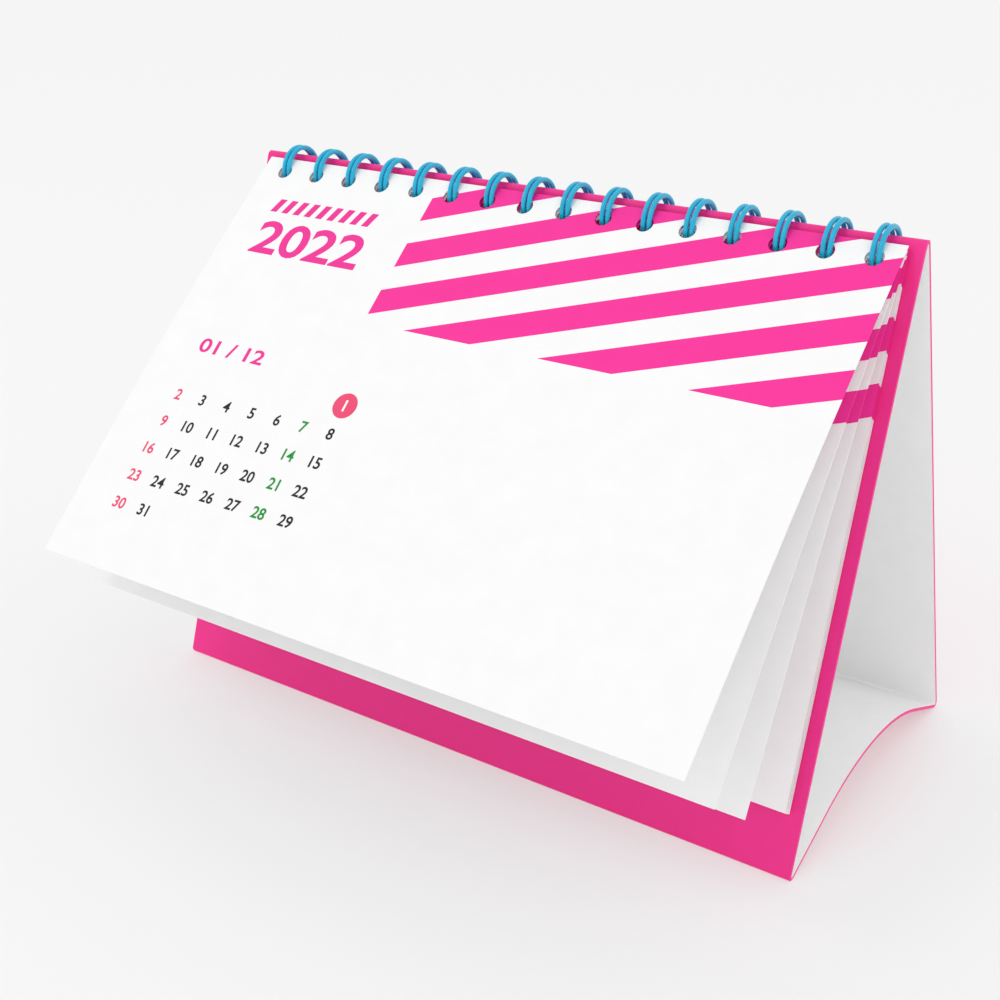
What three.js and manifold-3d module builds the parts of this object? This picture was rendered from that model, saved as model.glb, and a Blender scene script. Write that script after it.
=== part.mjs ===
// Desk calendar: a tent of folded board, a twin-loop wire through its ridge, and six leaves hung on the wire.
// Millimetres, +X to the right, -Y to the front, +Z up. The origin is on the table, under the front fold.
import * as THREE from 'three';
import { mergeVertices } from 'three/addons/utils/BufferGeometryUtils.js';
import Module from 'manifold-3d';

// Tent: one strip of board, folded at the ridge and at both feet, with a bottom panel that bows up
const tentWidth = 213;
const tentDepth = 105;
const tentHeight = 155.2;
const board = 1.0;
const foldInnerRadius = 0.5;
const footPress = 0.23;
const bowRise = 15.6;
const flankSlope = THREE.MathUtils.degToRad(23.5);

// Twin-loop wire: hairpin loops on a common cylinder, joined by straight links along its underside
const loopPitch = 12.7;
const loopRowShift = 0.9;
const rowEndMargin = 3.0;
const coilRadius = 6.6;
const wireDiameter = 1.4;
const legSpacing = 1.8;
const linkBendRadius = 1.2;
const seamGap = 0.8;
const wireBelowRidge = 9.2;

// Leaves: their size, their holes, and how far each one leans out from the front panel, in degrees.
// The tent shows a little past each side of them.
const leafSideMargin = 3.5;
const leafLength = 140;
const leafThickness = 0.25;
const leafHoleInset = 4.8;
const leafFan = [29.1, 20.2, 11.7, 0.8, 0.4, 0];

// Clearances: round the pair of wires in a hole, from a wire to the rim that it bears on, and between sheets
const holeSlack = 0.85;
const seatGap = 0.35;
const sheetGap = 0.3;

// Facets: how finely the rounds are cut
const arcSegments = 4;
const holeSegments = 10;
const wireSides = 6;
const legSteps = 16;
const tipSteps = 4;
const bendSteps = 2;

// Sizes that follow from the ones above
const foldOuterRadius = foldInnerRadius + board;
const footY = tentDepth / 2 - foldOuterRadius;
const footZ = foldOuterRadius - footPress;
const ridgeZ = tentHeight - foldOuterRadius;
const panelLean = Math.atan2(footY, ridgeZ - footZ);
const legOffset = legSpacing / 2;
const wireRadius = wireDiameter / 2;
const holeRadius = legOffset + wireRadius + holeSlack;
const seatDrop = Math.sqrt((legOffset + holeSlack - seatGap) ** 2 - legOffset ** 2);
const leafWidth = tentWidth - 2 * leafSideMargin;
// The row holds as many loops as fit across a leaf with a margin of paper outside the last holes
const rowLength = leafWidth - 2 * (Math.abs(loopRowShift) + holeRadius + rowEndMargin);
const loopCount = Math.floor(rowLength / loopPitch) + 1;
const loopXs = Array.from({ length: loopCount }, (_, i) => (i - (loopCount - 1) / 2) * loopPitch + loopRowShift);

const wasm = await Module();
wasm.setup();

function paint(color, roughness, metalness) {
  return new THREE.MeshStandardMaterial({ color, roughness, metalness });
}

const pinkBoard = paint(0xe93590, 0.55, 0);
const blueWire = paint(0x2aa3d4, 0.3, 0.6);
const whitePaper = paint(0xf7f7f6, 0.7, 0);

// A closed three.js geometry as a solid that can be cut
function toSolid(geometry) {
  const bare = geometry.clone();
  bare.deleteAttribute('normal');
  bare.deleteAttribute('uv');
  const merged = mergeVertices(bare);
  const vertProperties = new Float32Array(merged.attributes.position.array);
  const triVerts = new Uint32Array(merged.index.array);
  return new wasm.Manifold(new wasm.Mesh({ numProp: 3, vertProperties, triVerts }));
}

// A cut solid as a three.js geometry again
function toGeometry(solid) {
  const { vertProperties, triVerts } = solid.getMesh();
  const geometry = new THREE.BufferGeometry();
  geometry.setAttribute('position', new THREE.BufferAttribute(vertProperties, 3));
  geometry.setIndex(new THREE.BufferAttribute(triVerts, 1));
  geometry.computeVertexNormals();
  return geometry;
}

// Unit directions in the tent's section, where the first number is Y and the second is Z.
// A sheet that leans out by an angle from upright has its face this way, and its top edge that way.
function faceOf(lean) {
  return new THREE.Vector2(-Math.cos(lean), Math.sin(lean));
}

function upOf(lean) {
  return new THREE.Vector2(Math.sin(lean), Math.cos(lean));
}

// The bow is the arc that runs smoothly into both flanks of the bottom panel and tops out at the bow's rise.
// Its centre lies below the table, and its radius here is that of the panel's underside.
const bowClimb = bowRise - board - footZ;
const flankReach = footY * Math.sin(flankSlope) - bowClimb * Math.cos(flankSlope) - foldOuterRadius;
const bowRadius = flankReach / (1 - Math.cos(flankSlope));
const bowCentreZ = bowRise - board - bowRadius;
const bowSweep = bowRadius + foldOuterRadius;

// One face of the folded strip, seen from the end: the outer face runs at foldOuterRadius round each fold and
// the inner face at foldInnerRadius, and the board is what lies between them
function addTentOutline(path, radius) {
  const down = 1.5 * Math.PI;
  const up = 0.5 * Math.PI;
  path.absarc(-footY, footZ, radius, Math.PI - panelLean, down + flankSlope, false);
  path.absarc(0, bowCentreZ, bowSweep - radius, up + flankSlope, up - flankSlope, true);
  path.absarc(footY, footZ, radius, down - flankSlope, 2 * Math.PI + panelLean, false);
  path.absarc(0, ridgeZ, radius, panelLean, Math.PI - panelLean, false);
  path.closePath();
  return path;
}

// Where the wire passes through the middle of the front panel, and the axis of the coil above that point
const panelFace = faceOf(panelLean);
const panelUp = upOf(panelLean);
const ridge = new THREE.Vector2(0, ridgeZ);
const panelMiddle = foldInnerRadius + board / 2;
const panelCrossing = ridge.clone()
  .addScaledVector(panelFace, panelMiddle)
  .addScaledVector(panelUp, -wireBelowRidge);
const coil = new THREE.Vector2(0, panelCrossing.y + Math.sqrt(coilRadius ** 2 - panelCrossing.x ** 2));

// The cosine of the slant at which the wire passes through a sheet
function squareness(crossing, face) {
  const spoke = crossing.clone().sub(coil).normalize();
  return Math.abs(spoke.cross(face));
}

// How far a hole's centre lies from the wire, so that the wire bears on the rim of the hole
function dropFor(crossing, face) {
  return seatDrop * squareness(crossing, face);
}

// A polygon whose sides touch the hole's circle, so that no flat comes closer to the wire than the circle
const holeCornerRadius = holeRadius / Math.cos(Math.PI / holeSegments);

// The tent: the strip's section drawn out along X, its feet pressed flat, and two rows of holes punched
function makeTent() {
  const section = addTentOutline(new THREE.Shape(), foldOuterRadius);
  section.holes.push(addTentOutline(new THREE.Path(), foldInnerRadius));
  const strip = new THREE.ExtrudeGeometry(section, {
    depth: tentWidth, bevelEnabled: false, curveSegments: arcSegments,
  });
  strip.translate(0, 0, -tentWidth / 2);

  const table = new THREE.BoxGeometry(2 * tentDepth, foldOuterRadius, 2 * tentWidth);
  table.translate(0, -foldOuterRadius / 2, 0);
  let tent = toSolid(strip).subtract(toSolid(table));

  const rise = dropFor(panelCrossing, panelFace);
  const holeY = panelCrossing.x + rise * panelUp.x;
  const holeZ = panelCrossing.y + rise * panelUp.y;
  for (const side of [1, -1]) {
    const punch = new THREE.CylinderGeometry(holeCornerRadius, holeCornerRadius, 4 * board, holeSegments);
    punch.rotateZ(Math.PI / 2 - side * panelLean);
    punch.translate(side * holeY, holeZ, 0);
    for (const x of loopXs) {
      tent = tent.subtract(toSolid(punch.clone().translate(0, 0, x)));
    }
  }
  const mesh = new THREE.Mesh(toGeometry(tent), pinkBoard);
  mesh.name = 'tent_base';
  // The section's own X, Y and Z become the part's Y, Z and X
  mesh.quaternion.setFromAxisAngle(new THREE.Vector3(1, 1, 1).normalize(), 2 * Math.PI / 3);
  return mesh;
}

// A path that is drawn flat and then wrapped round the coil's cylinder: each flat point is a place along X and
// a length round the cylinder, counted from the rear (+Y) over the top
class WrappedPath extends THREE.Curve {
  constructor(flatPoints, radius) {
    super();
    this.points = flatPoints.map(({ x, y }) => {
      const turn = y / radius;
      return new THREE.Vector3(x, radius * Math.cos(turn), radius * Math.sin(turn));
    });
  }

  // Every step of the extrusion falls on a point of the path
  getUtoTmapping(u) {
    return u;
  }

  getPoint(t, target = new THREE.Vector3()) {
    const index = Math.round(t * (this.points.length - 1));
    return target.copy(this.points[index]);
  }

  // At each point the section faces midway between the stretch before it and the stretch after it
  getTangent(t, target = new THREE.Vector3()) {
    const last = this.points.length - 1;
    const index = Math.round(t * last);
    const here = this.points[index];
    const before = index > 0 ? here.clone().sub(this.points[index - 1]).normalize() : new THREE.Vector3();
    const after = index < last ? this.points[index + 1].clone().sub(here).normalize() : new THREE.Vector3();
    return target.copy(before).add(after).normalize();
  }
}

// Points on a bend of the flat path, without its first one, which the path already holds
function bendPoints(x, y, radius, from, to, steps) {
  return Array.from({ length: steps }, (_, i) => {
    const angle = from + (to - from) * (i + 1) / steps;
    return new THREE.Vector2(x + radius * Math.cos(angle), y + radius * Math.sin(angle));
  });
}

// The wire as one flat path: up one leg of each hairpin, round its tip, down the other leg, and along a link.
// Tips and links face each other across the seam, which lies at the bottom of the coil, inside the tent.
function flatWire() {
  const seam = 1.5 * Math.PI * coilRadius;
  const halfSeam = (seamGap + wireDiameter) / 2;
  const linkY = seam + halfSeam;
  const legBottom = linkY + linkBendRadius;
  const legTop = seam + 2 * Math.PI * coilRadius - halfSeam - legOffset;
  const heights = Array.from({ length: legSteps }, (_, i) => (i + 1) / legSteps);

  const points = [new THREE.Vector2(loopXs[0] - legOffset, legBottom)];
  loopXs.forEach((x, i) => {
    heights.forEach((part) => {
      points.push(new THREE.Vector2(x - legOffset, THREE.MathUtils.lerp(legBottom, legTop, part)));
    });
    points.push(...bendPoints(x, legTop, legOffset, Math.PI, 0, tipSteps));
    heights.forEach((part) => {
      points.push(new THREE.Vector2(x + legOffset, THREE.MathUtils.lerp(legTop, legBottom, part)));
    });
    if (i + 1 < loopCount) {
      const leave = x + legOffset + linkBendRadius;
      const arrive = loopXs[i + 1] - legOffset - linkBendRadius;
      points.push(...bendPoints(leave, legBottom, linkBendRadius, Math.PI, 1.5 * Math.PI, bendSteps));
      points.push(new THREE.Vector2(arrive, linkY));
      points.push(...bendPoints(arrive, legBottom, linkBendRadius, -0.5 * Math.PI, 0, bendSteps));
    }
  });
  return points;
}

function makeWire() {
  const round = new THREE.Shape();
  for (let i = 0; i < wireSides; i += 1) {
    const angle = 2 * Math.PI * i / wireSides;
    const corner = [wireRadius * Math.cos(angle), wireRadius * Math.sin(angle)];
    if (i === 0) {
      round.moveTo(...corner);
    } else {
      round.lineTo(...corner);
    }
  }
  round.closePath();
  const path = new WrappedPath(flatWire(), coilRadius);
  const geometry = new THREE.ExtrudeGeometry(round, { extrudePath: path, steps: path.points.length - 1 });
  const mesh = new THREE.Mesh(geometry, blueWire);
  mesh.name = 'binding_wire';
  mesh.position.set(0, coil.x, coil.y);
  return mesh;
}

// The point where the coil passes through a sheet, given the sheet's lean and how far its middle lies in front
// of the coil's axis
function crossingAt(lean, distance) {
  const angle = Math.PI - lean + Math.acos(distance / coilRadius);
  return new THREE.Vector2(coil.x + coilRadius * Math.cos(angle), coil.y + coilRadius * Math.sin(angle));
}

// The leaves hang one in front of the other. The rearmost keeps off the panel, and each of the others passes
// just in front of the top edge of the leaf behind it.
function hangLeaves() {
  const hung = [];
  const panelSurface = ridge.clone().addScaledVector(panelFace, foldOuterRadius);
  let behind = panelSurface;
  let standOff = sheetGap + leafThickness / 2;
  for (const fan of leafFan.toReversed()) {
    const lean = panelLean + THREE.MathUtils.degToRad(fan);
    const face = faceOf(lean);
    const crossing = crossingAt(lean, behind.clone().sub(coil).dot(face) + standOff);
    const aboveWire = leafHoleInset - dropFor(crossing, face);
    hung.unshift({ lean, crossing, aboveWire });
    behind = crossing.clone().addScaledVector(upOf(lean), aboveWire);
    standOff = sheetGap + leafThickness;
  }
  return hung;
}

// A leaf lies in its own plane, with the wire at the plane's origin and its top edge aboveWire higher
function makeLeaf({ lean, crossing, aboveWire }, number) {
  const sheet = new THREE.Shape();
  sheet.moveTo(-leafWidth / 2, aboveWire - leafLength);
  sheet.lineTo(leafWidth / 2, aboveWire - leafLength);
  sheet.lineTo(leafWidth / 2, aboveWire);
  sheet.lineTo(-leafWidth / 2, aboveWire);
  sheet.closePath();
  for (const x of loopXs) {
    const hole = new THREE.Path();
    hole.absarc(x, aboveWire - leafHoleInset, holeCornerRadius, 0, 2 * Math.PI, true);
    sheet.holes.push(hole);
  }
  const geometry = new THREE.ExtrudeGeometry(sheet, {
    depth: leafThickness, bevelEnabled: false, curveSegments: holeSegments / 2,
  });
  geometry.translate(0, 0, -leafThickness / 2);
  const mesh = new THREE.Mesh(geometry, whitePaper);
  mesh.name = `leaf_${number}`;
  mesh.position.set(0, crossing.x, crossing.y);
  mesh.rotation.x = Math.PI / 2 - lean;
  return mesh;
}

// Everything is placed from the middle of the tent, and the whole then stands with its front fold at the origin
const calendar = new THREE.Group();
const standing = new THREE.Group();
standing.position.y = footY;
standing.add(makeTent(), makeWire());
hangLeaves().forEach((hung, i) => standing.add(makeLeaf(hung, i + 1)));
calendar.add(standing);

export default calendar;
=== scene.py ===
import math

import bpy
from mathutils import Matrix, Quaternion, Vector


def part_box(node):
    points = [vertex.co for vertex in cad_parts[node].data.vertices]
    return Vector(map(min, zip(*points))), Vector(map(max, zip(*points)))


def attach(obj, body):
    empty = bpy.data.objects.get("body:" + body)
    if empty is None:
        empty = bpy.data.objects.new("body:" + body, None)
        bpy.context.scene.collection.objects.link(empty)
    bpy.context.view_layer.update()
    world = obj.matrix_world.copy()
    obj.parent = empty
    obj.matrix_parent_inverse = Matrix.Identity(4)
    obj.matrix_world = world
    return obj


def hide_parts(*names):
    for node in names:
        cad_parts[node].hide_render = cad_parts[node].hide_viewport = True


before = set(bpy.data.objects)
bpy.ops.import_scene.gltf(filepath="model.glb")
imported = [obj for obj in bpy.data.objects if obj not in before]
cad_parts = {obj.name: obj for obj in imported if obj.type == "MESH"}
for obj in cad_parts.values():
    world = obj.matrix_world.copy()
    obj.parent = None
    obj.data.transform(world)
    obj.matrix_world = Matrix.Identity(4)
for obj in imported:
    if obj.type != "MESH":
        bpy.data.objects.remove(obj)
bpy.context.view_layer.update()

MM = 0.001
# Points nearer than this are one point
NUDGE = 0.01 * MM

# Tent: the folded strip of board
BOARD = 1.0 * MM
FOLD_INNER_RADIUS = 0.5 * MM
FOOT_PRESS = 0.23 * MM
BOW_RISE = 15.6 * MM
FLANK_SLOPE = math.radians(23.5)
FOLD_STEPS = 14
BOW_STEPS = 48
STRIP_COLUMNS = 24
CUT_EDGE_BEVEL = 0.12 * MM
CUT_EDGE_ANGLE = math.radians(60)
BOARD_CREASE = math.radians(35)
BOARD_PUNCH = 4 * BOARD

# Twin-loop wire
LOOP_COUNT = 16
LOOP_PITCH = 12.7 * MM
LOOP_ROW_SHIFT = 0.9 * MM
COIL_RADIUS = 6.6 * MM
WIRE_RADIUS = 0.7 * MM
LEG_OFFSET = 0.9 * MM
LINK_BEND_RADIUS = 1.2 * MM
SEAM_GAP = 0.8 * MM
LEG_STEPS = 56
TIP_STEPS = 10
BEND_STEPS = 5
WIRE_SIDES = 14

# Holes, in the tent and in the leaves
HOLE_SLACK = 0.85 * MM
SEAT_GAP = 0.35 * MM
HOLE_RADIUS = LEG_OFFSET + WIRE_RADIUS + HOLE_SLACK
HOLE_SIDES = 32
WIRE_BELOW_RIDGE = 9.2 * MM
SEAT_DROP = math.sqrt((LEG_OFFSET + HOLE_SLACK - SEAT_GAP) ** 2 - LEG_OFFSET ** 2)

# Leaves, front to back, and how far each one bows out at its middle
LEAF_LENGTH = 140 * MM
LEAF_THICKNESS = 0.25 * MM
LEAF_HOLE_INSET = 4.8 * MM
LEAF_BOWS = [1.4 * MM, 1.5 * MM, 1.2 * MM, 0.5 * MM, 0.2 * MM, 0.0]
LEAF_CELLS_ACROSS = 26
LEAF_CELLS_DOWN = 40
LEAF_CREASE = math.radians(30)
LEAF_PUNCH = 8 * LEAF_THICKNESS

# Print on a leaf: places are across from its middle and down from its top edge
STRIPE_LEFT = -36.5 * MM
STRIPE_BOTTOM = 50.1 * MM
STRIPE_FIRST = 6.5 * MM
STRIPE_PERIOD = 16.28 * MM
# The part of a period that is inked, and how far a stripe climbs for its length across
STRIPE_SHARE = 0.51
STRIPE_SLOPE = 0.3715
# How far each leaf's block of stripes is printed below the place on the first leaf
STRIPE_DROPS = [0.0, 1.0 * MM, -2.5 * MM, -6.1 * MM, -6.1 * MM, -6.1 * MM]
GRID_LEFT = -85.4 * MM
GRID_TOP = 75.8 * MM
GRID_ACROSS = 9.57 * MM
GRID_DOWN = 8.93 * MM
DATE_HEIGHT = 3.5 * MM
DISC_RADIUS = 3.9 * MM
DISC_SIDES = 28
YEAR = "2022"
YEAR_PLACE = (-70.1 * MM, 28.8 * MM)
YEAR_HEIGHT = 11.9 * MM
YEAR_WIDEN = 1.3
MONTH_PLACE = (-75.2 * MM, 67.9 * MM)
MONTH_HEIGHT = 4.7 * MM
MONTH_WIDEN = 1.4
# The row of slanted dashes over the year: where its first dash lies, and a dash's width and height
DASH_ROW = (-91.0 * MM, 17.2 * MM)
DASH_SIZE = (2.4 * MM, 4.8 * MM)
DASH_COUNT = 9
DASH_PITCH = 4.45 * MM
# How far an ink's outer side stands out of the paper, and how far its inner side lies in it
INK_RISE = 0.03 * MM
INK_SINK = 0.01 * MM
NUMERAL_CURVE_STEPS = 5
NUMERAL_SWELL = 0.02

# The printed year: its months, and the weekday of its first day, counted from Sunday
MONTH_DAYS = [31, 28, 31, 30, 31, 30, 31, 31, 30, 31, 30, 31]
DAYS_IN_WEEK = 7
FIRST_WEEKDAY = 6
SUNDAY, FRIDAY = 0, 5

# Camera, at the photograph's angle
CAMERA_PLACE = Vector((226.6, -299.2, 242.8)) * MM
CAMERA_AZIMUTH = math.radians(35.11)
CAMERA_ELEVATION = math.radians(23.51)
CAMERA_ROLL = math.radians(0.40)
CAMERA_LENS = 54.26
CAMERA_SENSOR = 36.0

# Light: an even world, two soft lamps, and a floor drawn partly towards one pale tone where it is seen
WORLD_STRENGTH = 0.97
LAMP_AIM_HEIGHT = 0.08
KEY_PLACE = (-0.5, -0.9, 1.1)
KEY_SIZE = 0.3
KEY_POWER = 1.4
FILL_PLACE = (1.1, -0.3, 0.7)
FILL_SIZE = 0.9
FILL_POWER = 0.6
FLOOR_REACH = 6.0
FLOOR_EVENNESS = 0.5
DIFFUSE_BOUNCES = 10


def linear(red, green, blue):
    """A colour given as it looks on a screen, 0 to 255, as the linear values that a shader takes."""
    def channel(value):
        share = value / 255
        return share / 12.92 if share <= 0.04045 else ((share + 0.055) / 1.055) ** 2.4
    return (channel(red), channel(green), channel(blue), 1.0)


class Value:
    """A socket in a node tree, with the operators that its expressions use."""

    def __init__(self, graph, socket):
        self.graph = graph
        self.socket = socket

    def math(self, operation, other=None, swap=False):
        pair = (other, self) if swap else (self, other)
        sockets = {i: value for i, value in enumerate(pair) if value is not None}
        return self.graph.add("ShaderNodeMath", {"operation": operation}, sockets)

    def __add__(self, other):
        return self.math("ADD", other)

    __radd__ = __add__

    def __sub__(self, other):
        return self.math("SUBTRACT", other)

    def __rsub__(self, other):
        return self.math("SUBTRACT", other, swap=True)

    def __mul__(self, other):
        return self.math("MULTIPLY", other)

    __rmul__ = __mul__

    def __truediv__(self, other):
        return self.math("DIVIDE", other)

    def __lt__(self, other):
        return self.math("LESS_THAN", other)

    def __gt__(self, other):
        return self.math("GREATER_THAN", other)

    def fraction(self):
        return self.math("FRACT")


class Graph:
    """A node tree that is built by calls: one method adds any node."""

    def __init__(self, tree):
        self.tree = tree

    def add(self, kind, settings=None, sockets=None, output=0):
        node = self.tree.nodes.new(kind)
        for name, value in (settings or {}).items():
            setattr(node, name, value)
        for key, value in (sockets or {}).items():
            if isinstance(value, Value):
                self.tree.links.new(value.socket, node.inputs[key])
            else:
                node.inputs[key].default_value = value
        return Value(self, node.outputs[output]) if node.outputs else node

    def split(self, vector):
        """The X, Y and Z of a vector, from one node."""
        first = self.add("ShaderNodeSeparateXYZ", sockets={"Vector": vector})
        return [Value(self, socket) for socket in first.socket.node.outputs]


def shader_graph(name):
    material = bpy.data.materials.new(name)
    material.use_nodes = True
    material.node_tree.nodes.clear()
    return material, Graph(material.node_tree)


def finish_material(graph, shader):
    graph.add("ShaderNodeOutputMaterial", sockets={"Surface": shader})


def object_place(graph):
    """Object coordinates, for a pattern that stays where it is on a piece."""
    return graph.add("ShaderNodeTexCoord", output=3)


def noise(graph, place, scale, detail=2.0, roughness=0.5):
    return graph.add("ShaderNodeTexNoise", sockets={
        "Vector": place, "Scale": scale, "Detail": detail, "Roughness": roughness,
    })


def mix_colours(graph, factor, first, second):
    """The colour first where factor is 0, and second where it is 1."""
    colour_a, colour_b, colour_result = 6, 7, 2
    return graph.add("ShaderNodeMix", {"data_type": "RGBA"}, {
        "Factor": factor, colour_a: first, colour_b: second,
    }, output=colour_result)


def mix_shaders(graph, factor, first, second):
    """The shader first where factor is 0, and second where it is 1."""
    return graph.add("ShaderNodeMixShader", sockets={0: factor, 1: first, 2: second})


def bump(graph, height, strength, distance):
    return graph.add("ShaderNodeBump", sockets={
        "Strength": strength, "Distance": distance, "Height": height,
    })


def board_outside():
    """Pink print on coated board: an even colour, a faint mottle, and a fine grain under the varnish."""
    material, graph = shader_graph("pink_board")
    place = object_place(graph)
    mottle = noise(graph, place, scale=90.0, detail=3.0)
    grain = noise(graph, place, scale=1400.0)
    colour = mix_colours(graph, mottle, linear(241, 40, 138), linear(247, 48, 148))
    shader = graph.add("ShaderNodeBsdfPrincipled", sockets={
        "Base Color": colour,
        "Roughness": 0.42 + 0.12 * mottle,
        "Specular IOR Level": 0.3,
        "Coat Weight": 0.06,
        "Coat Roughness": 0.35,
        "Normal": bump(graph, grain, strength=0.12, distance=0.05 * MM),
    })
    finish_material(graph, shader)
    return material


def board_inside():
    """The uncoated white side of the board, a little fibrous."""
    material, graph = shader_graph("white_lining")
    place = object_place(graph)
    pulp = noise(graph, place, scale=160.0, detail=5.0, roughness=0.6)
    fibre = noise(graph, place, scale=1100.0, detail=3.0, roughness=0.6)
    colour = mix_colours(graph, pulp, linear(244, 244, 244), linear(251, 251, 251))
    shader = graph.add("ShaderNodeBsdfPrincipled", sockets={
        "Base Color": colour,
        "Roughness": 0.85,
        "Normal": bump(graph, fibre, strength=0.2, distance=0.06 * MM),
    })
    finish_material(graph, shader)
    return material


def coated_wire():
    """Steel wire in a smooth cyan coat, a touch darker where the coat is thin."""
    material, graph = shader_graph("blue_wire")
    place = object_place(graph)
    drift = noise(graph, place, scale=220.0)
    fine = noise(graph, place, scale=2600.0, detail=1.0)
    colour = mix_colours(graph, drift, linear(4, 160, 202), linear(16, 190, 226))
    shader = graph.add("ShaderNodeBsdfPrincipled", sockets={
        "Base Color": colour,
        "Metallic": 0.0,
        "Roughness": 0.24 + 0.1 * drift,
        "Specular IOR Level": 0.35,
        "Coat Weight": 0.25,
        "Coat Roughness": 0.1,
        "Normal": bump(graph, fine, strength=0.04, distance=0.02 * MM),
    })
    finish_material(graph, shader)
    return material


def printed_paper():
    """White leaf paper with its block of slanted stripes, laid out on the leaf's own print coordinates."""
    material, graph = shader_graph("printed_paper")
    flat = graph.add("ShaderNodeUVMap", {"uv_map": "Print"})
    across, down, _ = graph.split(flat)
    phase = (down + STRIPE_SLOPE * (across - STRIPE_LEFT) - STRIPE_FIRST) / STRIPE_PERIOD
    stripes = (phase.fraction() < STRIPE_SHARE) * (phase > 0.0)
    block = (across > STRIPE_LEFT) * (down < STRIPE_BOTTOM)
    ink = stripes * block
    place = object_place(graph)
    pulp = noise(graph, place, scale=130.0, detail=4.0, roughness=0.6)
    fibre = noise(graph, place, scale=1500.0, detail=3.0, roughness=0.6)
    paper = mix_colours(graph, pulp, linear(243, 243, 243), linear(250, 250, 250))
    pink = mix_colours(graph, pulp, linear(244, 43, 152), linear(249, 52, 159))
    shader = graph.add("ShaderNodeBsdfPrincipled", sockets={
        "Base Color": mix_colours(graph, ink, paper, pink),
        "Roughness": 0.62 - 0.14 * ink + 0.05 * pulp,
        "Specular IOR Level": 0.25,
        "Normal": bump(graph, fibre, strength=0.12, distance=0.04 * MM),
    })
    finish_material(graph, shader)
    return material


def ink(name, dark, light, roughness):
    """A flat printing ink, very slightly uneven in its cover."""
    material, graph = shader_graph(name)
    place = object_place(graph)
    cover = noise(graph, place, scale=500.0)
    shader = graph.add("ShaderNodeBsdfPrincipled", sockets={
        "Base Color": mix_colours(graph, cover, linear(*dark), linear(*light)),
        "Roughness": roughness,
        "Specular IOR Level": 0.25,
    })
    finish_material(graph, shader)
    return material


def geometry_graph(name, inputs):
    """A geometry tree with a mesh input, the named inputs, and a material that the result takes."""
    tree = bpy.data.node_groups.new(name, "GeometryNodeTree")
    ends = [("Geometry", "NodeSocketGeometry")] + inputs + [("Material", "NodeSocketMaterial")]
    for label, kind in ends:
        tree.interface.new_socket(label, in_out="INPUT", socket_type=kind)
    tree.interface.new_socket("Geometry", in_out="OUTPUT", socket_type="NodeSocketGeometry")
    graph = Graph(tree)
    start = graph.add("NodeGroupInput").socket.node
    return graph, {socket.name: Value(graph, socket) for socket in start.outputs if socket.name}


def finish_geometry(graph, geometry, material):
    whole = graph.add("GeometryNodeRealizeInstances", sockets={"Geometry": geometry})
    painted = graph.add("GeometryNodeSetMaterial", sockets={"Geometry": whole, "Material": material})
    graph.add("NodeGroupOutput", sockets={"Geometry": painted})
    return graph.tree


def with_tree(piece, tree, values):
    """Puts a geometry tree on a piece, with its inputs set by their identifiers."""
    modifier = piece.modifiers.new(tree.name, "NODES")
    modifier.node_group = tree
    for item in tree.interface.items_tree:
        if item.in_out == "INPUT" and item.name in values:
            modifier[item.identifier] = values[item.name]


def settle(piece):
    """Turns a piece's modifiers into its plain mesh."""
    bpy.context.view_layer.update()
    evaluated = piece.evaluated_get(bpy.context.evaluated_depsgraph_get())
    mesh = bpy.data.meshes.new_from_object(evaluated)
    piece.modifiers.clear()
    piece.data = mesh
    return mesh


def new_piece(name, vertices, edges, faces):
    mesh = bpy.data.meshes.new(name)
    mesh.from_pydata(vertices, edges, faces)
    piece = bpy.data.objects.new(name, mesh)
    bpy.context.collection.objects.link(piece)
    return piece


ROW_INPUTS = [
    ("Count", "NodeSocketInt"),
    ("Pitch", "NodeSocketFloat"),
    ("Hole radius", "NodeSocketFloat"),
    ("Hole sides", "NodeSocketInt"),
    ("Punch length", "NodeSocketFloat"),
    ("Row place", "NodeSocketVector"),
    ("Row turn", "NodeSocketVector"),
]


def centred_row(graph, given):
    """A row of points along X, with its middle at the origin."""
    start = graph.add("ShaderNodeCombineXYZ", sockets={
        "X": (given["Count"] - 1.0) * given["Pitch"] / -2.0,
    })
    offset = graph.add("ShaderNodeCombineXYZ", sockets={"X": given["Pitch"]})
    return graph.add("GeometryNodeMeshLine", {"mode": "OFFSET"}, {
        "Count": given["Count"], "Start Location": start, "Offset": offset,
    })


def punched(graph, solid, given):
    """solid, less a row of round holes."""
    punch = graph.add("GeometryNodeMeshCylinder", sockets={
        "Vertices": given["Hole sides"], "Radius": given["Hole radius"], "Depth": given["Punch length"],
    })
    turned = graph.add("GeometryNodeTransform", sockets={"Geometry": punch, "Rotation": given["Row turn"]})
    punches = graph.add("GeometryNodeInstanceOnPoints", sockets={
        "Points": centred_row(graph, given), "Instance": turned,
    })
    placed = graph.add("GeometryNodeTransform", sockets={
        "Geometry": graph.add("GeometryNodeRealizeInstances", sockets={"Geometry": punches}),
        "Translation": given["Row place"],
    })
    return graph.add("GeometryNodeMeshBoolean", {"operation": "DIFFERENCE", "solver": "EXACT"}, {
        "Mesh 1": solid, "Mesh 2": placed,
    })


def punching_tree():
    """Punches a row of holes through whatever mesh it is given."""
    graph, given = geometry_graph("punched_row", ROW_INPUTS)
    return finish_geometry(graph, punched(graph, given["Geometry"], given), given["Material"])


def leaf_tree():
    """A flat leaf in cells that can bend, with its row of holes."""
    graph, given = geometry_graph("punched_leaf", ROW_INPUTS + [
        ("Size", "NodeSocketVector"),
        ("Cells across", "NodeSocketInt"),
        ("Cells down", "NodeSocketInt"),
    ])
    sheet = graph.add("GeometryNodeMeshCube", sockets={
        "Size": given["Size"], "Vertices X": given["Cells across"], "Vertices Y": given["Cells down"],
        "Vertices Z": 2,
    })
    return finish_geometry(graph, punched(graph, sheet, given), given["Material"])


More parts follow.
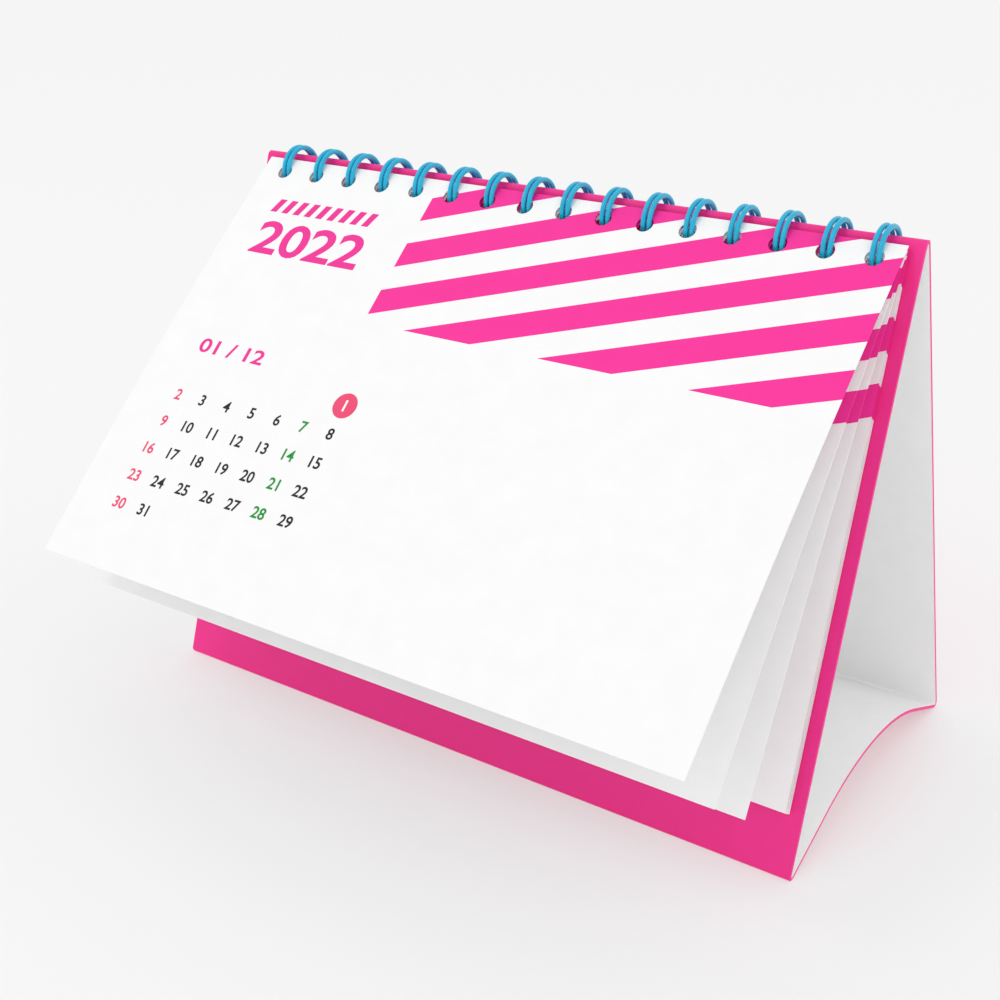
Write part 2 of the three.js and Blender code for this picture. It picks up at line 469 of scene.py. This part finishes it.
def wire_tree():
    """Repeats a flat hairpin along a row, wraps the row round the coil, and thickens it to a wire."""
    graph, given = geometry_graph("twin_loop_wire", [
        ("Count", "NodeSocketInt"),
        ("Pitch", "NodeSocketFloat"),
        ("Row end", "NodeSocketFloat"),
        ("Coil radius", "NodeSocketFloat"),
        ("Wire radius", "NodeSocketFloat"),
        ("Wire sides", "NodeSocketInt"),
        ("Coil place", "NodeSocketVector"),
    ])
    repeated = graph.add("GeometryNodeInstanceOnPoints", sockets={
        "Points": centred_row(graph, given), "Instance": given["Geometry"],
    })
    joined = graph.add("GeometryNodeMergeByDistance", sockets={
        "Geometry": graph.add("GeometryNodeRealizeInstances", sockets={"Geometry": repeated}),
        "Distance": NUDGE,
    })
    across, round_coil, _ = graph.split(graph.add("GeometryNodeInputPosition"))
    trimmed = graph.add("GeometryNodeDeleteGeometry", {"domain": "POINT"}, {
        "Geometry": joined, "Selection": across > given["Row end"],
    })
    turn = round_coil / given["Coil radius"]
    wrapped = graph.add("GeometryNodeSetPosition", sockets={
        "Geometry": trimmed,
        "Position": graph.add("ShaderNodeCombineXYZ", sockets={
            "X": across,
            "Y": turn.math("COSINE") * given["Coil radius"],
            "Z": turn.math("SINE") * given["Coil radius"],
        }),
        "Offset": given["Coil place"],
    })
    profile = graph.add("GeometryNodeCurvePrimitiveCircle", {"mode": "RADIUS"}, {
        "Resolution": given["Wire sides"], "Radius": given["Wire radius"],
    })
    tube = graph.add("GeometryNodeCurveToMesh", sockets={
        "Curve": graph.add("GeometryNodeMeshToCurve", sockets={"Mesh": wrapped}),
        "Profile Curve": profile,
        "Fill Caps": True,
    })
    smooth = graph.add("GeometryNodeSetShadeSmooth", sockets={"Geometry": tube})
    return finish_geometry(graph, smooth, given["Material"])


# The tent's own sizes come from the frame, and its section is worked out from them
tent_low, tent_high = (Vector(corner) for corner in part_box("tent_base"))
tent_width = tent_high.x - tent_low.x
tent_middle = (tent_low.y + tent_high.y) / 2
fold_outer = FOLD_INNER_RADIUS + BOARD
foot_y = (tent_high.y - tent_low.y) / 2 - fold_outer
foot_z = fold_outer - FOOT_PRESS
ridge_z = tent_high.z - fold_outer
panel_lean = math.atan2(foot_y, ridge_z - foot_z)


def arc(across, up, radius, start, end, steps):
    """Points on a flat arc about a middle that lies across and up, both ends included."""
    angles = [start + (end - start) * i / steps for i in range(steps + 1)]
    return [(across + radius * math.cos(angle), up + radius * math.sin(angle)) for angle in angles]


def tent_face(radius):
    """One face of the strip in section: the front fold, the bow, the rear fold and the ridge."""
    down, up = 1.5 * math.pi, 0.5 * math.pi
    # The flanks touch both the folds and the bow, which fixes the bow's radius
    climb = BOW_RISE - BOARD - foot_z
    reach = foot_y * math.sin(FLANK_SLOPE) - climb * math.cos(FLANK_SLOPE) - fold_outer
    bow_radius = reach / (1 - math.cos(FLANK_SLOPE))
    bow_z = BOW_RISE - BOARD - bow_radius
    sweep = bow_radius + fold_outer
    return (
        arc(-foot_y, foot_z, radius, math.pi - panel_lean, down + FLANK_SLOPE, FOLD_STEPS)
        + arc(0, bow_z, sweep - radius, up + FLANK_SLOPE, up - FLANK_SLOPE, BOW_STEPS)
        + arc(foot_y, foot_z, radius, down - FLANK_SLOPE, 2 * math.pi + panel_lean, FOLD_STEPS)
        + arc(0, ridge_z, radius, panel_lean, math.pi - panel_lean, FOLD_STEPS)
    )


def folded_strip():
    """The board as a closed tube of columns, with the faces of its inner side marked."""
    # The folds that stand on the table are pressed flat at its level
    outer = [(y, max(z, 0.0)) for y, z in tent_face(fold_outer)]
    inner = tent_face(FOLD_INNER_RADIUS)
    ring = len(outer)
    vertices = []
    for column in range(STRIP_COLUMNS + 1):
        x = tent_low.x + tent_width * column / STRIP_COLUMNS
        vertices += [(x, y + tent_middle, z) for y, z in outer + inner]

    faces, inside = [], []
    for column in range(STRIP_COLUMNS):
        near, far = 2 * ring * column, 2 * ring * (column + 1)
        for i in range(ring):
            j = (i + 1) % ring
            faces.append((near + i, near + j, far + j, far + i))
            faces.append((near + ring + i, far + ring + i, far + ring + j, near + ring + j))
            inside += [False, True]
    last = 2 * ring * STRIP_COLUMNS
    for i in range(ring):
        j = (i + 1) % ring
        faces.append((i, ring + i, ring + j, j))
        faces.append((last + i, last + j, last + ring + j, last + ring + i))
        inside += [False, False]

    piece = new_piece("tent_board", vertices, [], faces)
    marks = piece.data.attributes.new("lining", "FLOAT", "FACE")
    marks.data.foreach_set("value", [float(mark) for mark in inside])
    return piece


def panel_hole():
    """Where a hole's middle lies in the rear panel: behind the ridge, and above the table."""
    middle = FOLD_INNER_RADIUS + BOARD / 2
    # The coil is round, so the slant at which it meets the panel follows from where it crosses
    crossing = middle * math.cos(panel_lean) + WIRE_BELOW_RIDGE * math.sin(panel_lean)
    spoke = math.asin(crossing / COIL_RADIUS)
    rise = SEAT_DROP * math.cos(math.pi / 2 - panel_lean - spoke)
    down = WIRE_BELOW_RIDGE - rise
    behind = middle * math.cos(panel_lean) + down * math.sin(panel_lean)
    above = ridge_z + middle * math.sin(panel_lean) - down * math.cos(panel_lean)
    return behind, above


def make_tent(outside, lining):
    """The folded strip, punched through both panels, with its cut edges eased and its inner side white."""
    piece = folded_strip()
    tree = punching_tree()
    behind, above = panel_hole()
    for side in (1, -1):
        with_tree(piece, tree, {
            "Count": LOOP_COUNT, "Pitch": LOOP_PITCH, "Hole radius": HOLE_RADIUS, "Hole sides": HOLE_SIDES,
            "Punch length": BOARD_PUNCH, "Material": outside,
            "Row place": (LOOP_ROW_SHIFT, tent_middle + side * behind, above),
            "Row turn": (side * (math.pi / 2 - panel_lean), 0.0, 0.0),
        })
    bevel = piece.modifiers.new("cut_edges", "BEVEL")
    bevel.width = CUT_EDGE_BEVEL
    bevel.segments = 2
    bevel.limit_method = "ANGLE"
    bevel.angle_limit = CUT_EDGE_ANGLE
    mesh = settle(piece)
    mesh.materials.clear()
    mesh.materials.append(outside)
    mesh.materials.append(lining)
    marks = mesh.attributes["lining"]
    for polygon in mesh.polygons:
        polygon.material_index = int(marks.data[polygon.index].value > 0.5)
    mesh.shade_smooth()
    mesh.set_sharp_from_angle(angle=BOARD_CREASE)
    # The flat panels keep even shading right up to the folds and the holes
    even = piece.modifiers.new("even_panels", "WEIGHTED_NORMAL")
    even.keep_sharp = True
    settle(piece)
    return piece


def make_wire(material):
    """One flat hairpin and its link, X along the row and Y round the coil, repeated by the wire's tree."""
    wire_low, wire_high = (Vector(corner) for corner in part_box("binding_wire"))
    coil_z = (wire_low.z + wire_high.z) / 2
    seam = 1.5 * math.pi * COIL_RADIUS
    half_seam = SEAM_GAP / 2 + WIRE_RADIUS
    link = seam + half_seam
    bottom = link + LINK_BEND_RADIUS
    top = seam + 2 * math.pi * COIL_RADIUS - half_seam - LEG_OFFSET
    heights = [bottom + (top - bottom) * i / LEG_STEPS for i in range(LEG_STEPS + 1)]
    leave = LEG_OFFSET + LINK_BEND_RADIUS
    arrive = LOOP_PITCH - leave
    path = [(-LEG_OFFSET, height) for height in heights]
    path += arc(0, top, LEG_OFFSET, math.pi, 0, TIP_STEPS)[1:]
    path += [(LEG_OFFSET, height) for height in reversed(heights)][1:]
    path += arc(leave, bottom, LINK_BEND_RADIUS, math.pi, 1.5 * math.pi, BEND_STEPS)[1:]
    path += arc(arrive, bottom, LINK_BEND_RADIUS, -0.5 * math.pi, 0, BEND_STEPS)
    piece = new_piece("loop_wire", [(x, y, 0.0) for x, y in path],
                      [(i, i + 1) for i in range(len(path) - 1)], [])
    half_row = (LOOP_COUNT - 1) * LOOP_PITCH / 2
    with_tree(piece, wire_tree(), {
        "Count": LOOP_COUNT, "Pitch": LOOP_PITCH, "Row end": half_row + LEG_OFFSET + NUDGE,
        "Coil radius": COIL_RADIUS, "Wire radius": WIRE_RADIUS, "Wire sides": WIRE_SIDES,
        "Coil place": (LOOP_ROW_SHIFT, tent_middle, coil_z), "Material": material,
    })
    settle(piece)
    return piece


class Leaf:
    """Where a leaf hangs, worked out from its box, and the bow that its paper takes."""

    def __init__(self, number, bow, stripe_drop):
        self.node = f"leaf_{number}"
        self.number = number
        self.bow = bow
        self.stripe_drop = stripe_drop
        low, high = (Vector(corner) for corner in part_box(self.node))
        size = high - low
        scale = LEAF_LENGTH ** 2 - LEAF_THICKNESS ** 2
        sine = (size.y * LEAF_LENGTH - size.z * LEAF_THICKNESS) / scale
        cosine = (size.z * LEAF_LENGTH - size.y * LEAF_THICKNESS) / scale
        self.width = size.x
        self.up = Vector((0, sine, cosine))
        self.face = Vector((0, -cosine, sine))
        self.top = (low + high) / 2 + self.up * LEAF_LENGTH / 2

    def point(self, across, down, out):
        """A place on the leaf: across from its middle, down from its top edge, and out from its mid-plane."""
        lift = self.bow * math.sin(math.pi * min(max(down / LEAF_LENGTH, 0.0), 1.0))
        place = self.top - self.up * down + self.face * (out + lift)
        return Vector((place.x + across, place.y, place.z))


def make_leaf(leaf, tree, paper):
    """A flat punched leaf that takes its print coordinates first, and then its place and its bow."""
    piece = new_piece(f"leaf_sheet_{leaf.number}", [], [], [])
    with_tree(piece, tree, {
        "Size": (leaf.width, LEAF_LENGTH, LEAF_THICKNESS),
        "Cells across": LEAF_CELLS_ACROSS + 1, "Cells down": LEAF_CELLS_DOWN + 1,
        "Count": LOOP_COUNT, "Pitch": LOOP_PITCH, "Hole radius": HOLE_RADIUS, "Hole sides": HOLE_SIDES,
        "Punch length": LEAF_PUNCH, "Material": paper,
        "Row place": (LOOP_ROW_SHIFT, LEAF_LENGTH / 2 - LEAF_HOLE_INSET, 0.0),
    })
    mesh = settle(piece)
    prints = mesh.uv_layers.new(name="Print")
    for polygon in mesh.polygons:
        # The back's print runs the other way, so that it reads from behind
        side = -1.0 if polygon.normal.z < -0.5 else 1.0
        for corner in polygon.loop_indices:
            place = mesh.vertices[mesh.loops[corner].vertex_index].co
            prints.data[corner].uv = (side * place.x, LEAF_LENGTH / 2 - place.y - leaf.stripe_drop)
    for vertex in mesh.vertices:
        place = vertex.co
        vertex.co = leaf.point(place.x, LEAF_LENGTH / 2 - place.y, place.z)
    mesh.shade_smooth()
    mesh.set_sharp_from_angle(angle=LEAF_CREASE)
    return piece


numerals = {}


def numeral(text):
    """A number as thin closed shapes, one unit high, centred across, with its foot at zero."""
    if text not in numerals:
        curve = bpy.data.curves.new("numeral", "FONT")
        curve.body = text
        curve.resolution_u = NUMERAL_CURVE_STEPS
        curve.offset = NUMERAL_SWELL
        # Any thickness will do: a point keeps only the side that it lies on
        curve.extrude = 0.5
        writer = bpy.data.objects.new("numeral", curve)
        bpy.context.collection.objects.link(writer)
        bpy.context.view_layer.update()
        mesh = bpy.data.meshes.new_from_object(writer.evaluated_get(bpy.context.evaluated_depsgraph_get()))
        low = Vector([min(v.co[i] for v in mesh.vertices) for i in range(3)])
        high = Vector([max(v.co[i] for v in mesh.vertices) for i in range(3)])
        scale = 1 / (high.y - low.y)
        points = [((v.co.x - (low.x + high.x) / 2) * scale, (v.co.y - low.y) * scale, v.co.z > 0)
                  for v in mesh.vertices]
        numerals[text] = points, [tuple(p.vertices) for p in mesh.polygons]
        bpy.data.objects.remove(writer)
        bpy.data.curves.remove(curve)
        bpy.data.meshes.remove(mesh)
    return numerals[text]


def prism(outline):
    """A flat outline as a thin closed shape, in the form that numeral gives."""
    count = len(outline)
    points = [(x, y, False) for x, y in outline] + [(x, y, True) for x, y in outline]
    faces = [tuple(reversed(range(count))), tuple(range(count, 2 * count))]
    faces += [(i, (i + 1) % count, count + (i + 1) % count, count + i) for i in range(count)]
    return points, faces


class Printing:
    """The print on one side of a leaf, gathered into one mesh of thin inked shapes."""

    def __init__(self, leaf, side):
        self.leaf = leaf
        self.side = side
        self.vertices = []
        self.faces = []
        self.inks = []

    def add(self, shape, across, down, height, ink_number, widen=1.0, rise=INK_RISE):
        """Prints a shape with its middle at a place, scaled to a height and then widened."""
        points, faces = shape
        first = len(self.vertices)
        surface = LEAF_THICKNESS / 2
        for x, y, proud in points:
            out = surface + (rise if proud else -INK_SINK)
            self.vertices.append(self.leaf.point(
                self.side * (across + x * height * widen), down - (y - 0.5) * height, self.side * out))
        self.faces += [tuple(first + i for i in face) for face in faces]
        self.inks += [ink_number] * len(faces)

    def piece(self, name, materials):
        made = new_piece(name, self.vertices, [], self.faces)
        for material in materials:
            made.data.materials.append(material)
        made.data.polygons.foreach_set("material_index", self.inks)
        return made


BLACK, ROSE, GREEN, PINK, WHITE = range(5)


def print_month(printing, month):
    """One month's page: the year, a plain number for the month, and its grid of dates."""
    printing.add(numeral(YEAR), *YEAR_PLACE, YEAR_HEIGHT, PINK, YEAR_WIDEN)
    width, height = DASH_SIZE
    lean = STRIPE_SLOPE * height
    dash = prism([(0, 0), (width / height, 0), ((width + lean) / height, 1), (lean / height, 1)])
    for i in range(DASH_COUNT):
        printing.add(dash, DASH_ROW[0] + i * DASH_PITCH, DASH_ROW[1], height, PINK)
    plain_month = numeral(f"{month:02d} / {len(MONTH_DAYS)}")
    printing.add(plain_month, *MONTH_PLACE, MONTH_HEIGHT, PINK, MONTH_WIDEN)

    first_cell = (FIRST_WEEKDAY + sum(MONTH_DAYS[:month - 1])) % DAYS_IN_WEEK
    angles = [2 * math.pi * i / DISC_SIDES for i in range(DISC_SIDES)]
    disc = prism([(math.cos(angle) / 2, 0.5 + math.sin(angle) / 2) for angle in angles])
    for date in range(1, MONTH_DAYS[month - 1] + 1):
        row, weekday = divmod(first_cell + date - 1, DAYS_IN_WEEK)
        across = GRID_LEFT + weekday * GRID_ACROSS
        down = GRID_TOP + row * GRID_DOWN
        colour = {SUNDAY: ROSE, FRIDAY: GREEN}.get(weekday, BLACK)
        # The first day stands in white on a disc
        if date == 1:
            printing.add(disc, across, down, 2 * DISC_RADIUS, ROSE)
            printing.add(numeral("1"), across, down, DATE_HEIGHT, WHITE, rise=2 * INK_RISE)
        else:
            printing.add(numeral(str(date)), across, down, DATE_HEIGHT, colour)


def dress(piece, slot_name, *nodes):
    """Ties a finished piece to its body, and hides the node that it stands in for; the slot name is not used.
    """
    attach(piece, "root")
    if nodes:
        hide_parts(*nodes)


def make_calendar():
    paper = printed_paper()
    inks = [
        ink("black_ink", (30, 30, 33), (42, 42, 46), 0.5),
        ink("rose_ink", (234, 70, 112), (240, 82, 122), 0.5),
        ink("green_ink", (20, 142, 46), (34, 156, 60), 0.5),
        ink("pink_ink", (236, 44, 148), (243, 54, 157), 0.5),
        ink("white_ink", (246, 246, 246), (252, 252, 252), 0.6),
    ]
    dress(make_tent(board_outside(), board_inside()), "pink_board", "tent_base")
    dress(make_wire(coated_wire()), "blue_wire", "binding_wire")
    tree = leaf_tree()
    leaves = [Leaf(i + 1, bow, drop) for i, (bow, drop) in enumerate(zip(LEAF_BOWS, STRIPE_DROPS))]
    for leaf in leaves:
        dress(make_leaf(leaf, tree, paper), "leaf_paper", leaf.node)
        for side, words, month in ((1, "front", leaf.number), (-1, "back", leaf.number + len(leaves))):
            printing = Printing(leaf, side)
            print_month(printing, month)
            dress(printing.piece(f"print_{words}_{leaf.number}", inks), "leaf_paper")


def make_camera():
    camera = bpy.data.cameras.new("camera")
    camera.lens = CAMERA_LENS
    camera.sensor_width = CAMERA_SENSOR
    holder = bpy.data.objects.new("camera", camera)
    back = Vector((
        math.sin(CAMERA_AZIMUTH) * math.cos(CAMERA_ELEVATION),
        -math.cos(CAMERA_AZIMUTH) * math.cos(CAMERA_ELEVATION),
        math.sin(CAMERA_ELEVATION),
    ))
    turned = back.to_track_quat("Z", "Y") @ Quaternion((0, 0, 1), -CAMERA_ROLL)
    holder.matrix_world = Matrix.Translation(CAMERA_PLACE) @ turned.to_matrix().to_4x4()
    bpy.context.collection.objects.link(holder)
    bpy.context.scene.camera = holder


def make_lamp(name, place, size, power):
    """A square lamp that points at the calendar."""
    lamp = bpy.data.lights.new(name, "AREA")
    lamp.shape = "SQUARE"
    lamp.size = size
    lamp.energy = power
    holder = bpy.data.objects.new(name, lamp)
    back = Vector(place) - Vector((0.0, tent_middle, LAMP_AIM_HEIGHT))
    holder.matrix_world = Matrix.Translation(place) @ back.to_track_quat("Z", "Y").to_matrix().to_4x4()
    bpy.context.collection.objects.link(holder)


def seen_rays(graph):
    """1 for the rays that show the backdrop, straight or in a gloss, and 0 for those that carry its light."""
    path = graph.add("ShaderNodeLightPath").socket.node
    camera, glossy, through = (
        Value(graph, path.outputs[name])
        for name in ("Is Camera Ray", "Is Glossy Ray", "Is Transmission Ray")
    )
    return camera.math("MAXIMUM", glossy).math("MAXIMUM", through)


def make_floor():
    corners = [(x * FLOOR_REACH, y * FLOOR_REACH, 0) for x, y in ((-1, -1), (1, -1), (1, 1), (-1, 1))]
    floor = new_piece("floor", corners, [], [(0, 1, 2, 3)])
    material, graph = shader_graph("pale_floor")
    card = graph.add("ShaderNodeBsdfDiffuse", sockets={"Color": linear(252, 252, 252)})
    even = graph.add("ShaderNodeEmission", sockets={"Color": linear(241, 241, 241), "Strength": 1.0})
    finish_material(graph, mix_shaders(graph, seen_rays(graph) * FLOOR_EVENNESS, card, even))
    floor.data.materials.append(material)


def make_world():
    world = bpy.data.worlds.new("studio")
    world.use_nodes = True
    world.node_tree.nodes.clear()
    graph = Graph(world.node_tree)
    light = graph.add("ShaderNodeBackground", sockets={"Color": (1, 1, 1, 1), "Strength": WORLD_STRENGTH})
    backdrop = graph.add("ShaderNodeBackground", sockets={"Color": linear(246, 246, 246), "Strength": 1.0})
    both = mix_shaders(graph, seen_rays(graph), light, backdrop)
    graph.add("ShaderNodeOutputWorld", sockets={"Surface": both})
    bpy.context.scene.world = world


make_camera()
make_world()
make_floor()
make_lamp("key", KEY_PLACE, KEY_SIZE, KEY_POWER)
make_lamp("fill", FILL_PLACE, FILL_SIZE, FILL_POWER)
make_calendar()
bpy.context.scene.view_settings.view_transform = "Standard"
bpy.context.scene.cycles.diffuse_bounces = DIFFUSE_BOUNCES
